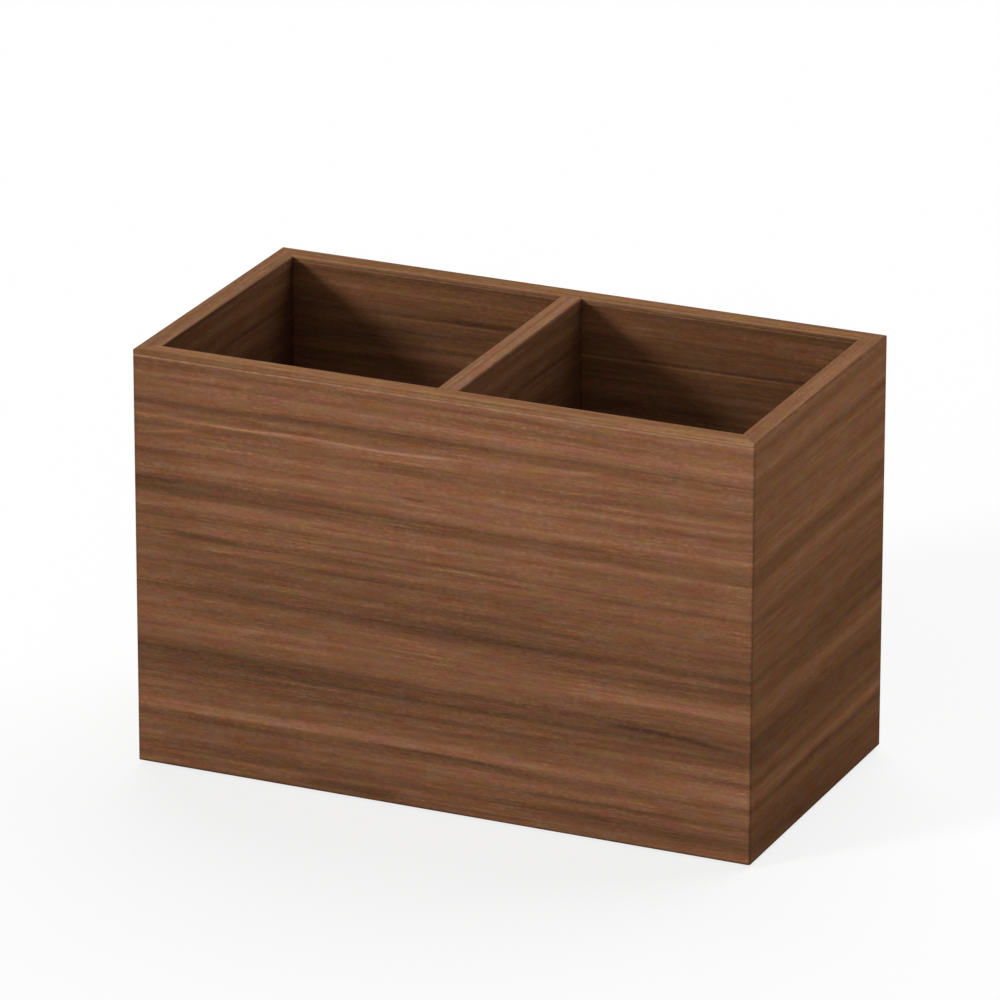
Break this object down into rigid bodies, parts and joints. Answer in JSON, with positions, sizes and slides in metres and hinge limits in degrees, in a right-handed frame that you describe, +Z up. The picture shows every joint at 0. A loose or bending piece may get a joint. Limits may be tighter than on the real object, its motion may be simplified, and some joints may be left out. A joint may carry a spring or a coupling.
{
  "type": "pen holder",
  "caption": "Open-topped rectangular desk box in walnut-veneered board with mitred corners, a cross divider, solid rim strips and felt pads.",
  "frame": {"origin": "on the resting surface, under the middle of the box", "axes": "+X to the right along the long side, +Y to the back, +Z up; the long front face looks to -Y"},
  "size_m": [0.152, 0.079, 0.101],
  "materials": {
    "board": "raw pressed board",
    "walnut_veneer": "satin lacquered walnut veneer",
    "walnut_rim": "satin lacquered solid walnut strip",
    "felt": "pressed felt"
  },
  "bodies": {
    "root": {"front_wall": "board", "right_wall": "board", "back_wall": "board", "left_wall": "board", "divider_board": "board", "base_board": "board", "outer_veneer": "walnut_veneer", "lining_front_left": "walnut_veneer", "lining_front_right": "walnut_veneer", "lining_right": "walnut_veneer", "lining_back_right": "walnut_veneer", "lining_back_left": "walnut_veneer", "lining_left": "walnut_veneer", "divider_veneer_left": "walnut_veneer", "divider_veneer_right": "walnut_veneer", "floor_veneer": "walnut_veneer", "underside_veneer": "walnut_veneer", "rim_front": "walnut_rim", "rim_right": "walnut_rim", "rim_back": "walnut_rim", "rim_left": "walnut_rim", "rim_divider": "walnut_rim", "pad_front_left": "felt", "pad_front_right": "felt", "pad_back_left": "felt", "pad_back_right": "felt"}
  },
  "joints": []
}
